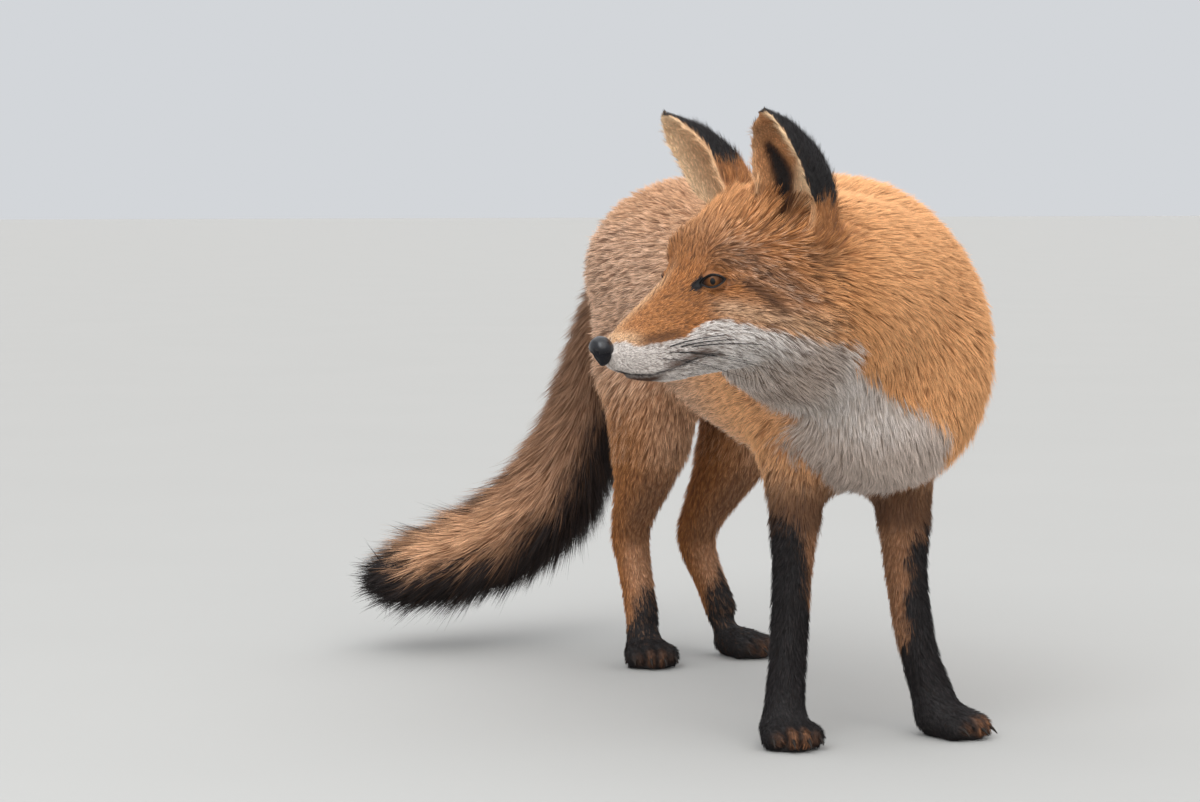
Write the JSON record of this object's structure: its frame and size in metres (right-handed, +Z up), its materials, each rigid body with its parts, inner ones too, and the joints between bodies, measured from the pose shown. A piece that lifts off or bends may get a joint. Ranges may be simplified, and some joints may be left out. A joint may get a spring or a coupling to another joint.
{
  "type": "red fox model",
  "caption": "Life-size standing red fox in its coat, head turned to its right and tail swept the same way, as a still museum model.",
  "frame": {"origin": "on the floor, under the middle of the box round the whole fox", "axes": "+Z up; the body runs along Y with its chest towards -Y and its rump towards +Y; +X is the fox's left"},
  "size_m": [0.3362, 0.6978, 0.4404],
  "materials": {
    "orange_coat": "dense orange fur",
    "grey_brown_coat": "grizzled pinkish grey-brown fur",
    "white_coat": "soft white fur",
    "black_coat": "short brown-black fur",
    "eye": "amber glass eye, clear gloss",
    "bare_black": "black bare skin and horn of nose pad and claws, half gloss"
  },
  "bodies": {
    "root": {"ear_left": "orange_coat", "ear_right": "orange_coat", "eye_left": "eye", "eye_right": "eye", "front_left_forearm": "black_coat", "front_left_paw": "black_coat", "front_left_upper_arm": "orange_coat", "front_right_forearm": "black_coat", "front_right_paw": "black_coat", "front_right_upper_arm": "orange_coat", "head": "orange_coat", "hind_left_metatarsus": "grey_brown_coat", "hind_left_paw": "black_coat", "hind_left_shank": "grey_brown_coat", "hind_left_thigh": "grey_brown_coat", "hind_right_metatarsus": "grey_brown_coat", "hind_right_paw": "black_coat", "hind_right_shank": "grey_brown_coat", "hind_right_thigh": "grey_brown_coat", "lower_jaw": "white_coat", "neck": "orange_coat", "nose": "bare_black", "tail_base": "grey_brown_coat", "tail_middle": "grey_brown_coat", "tail_tip": "black_coat", "trunk": "grey_brown_coat"}
  },
  "joints": []
}
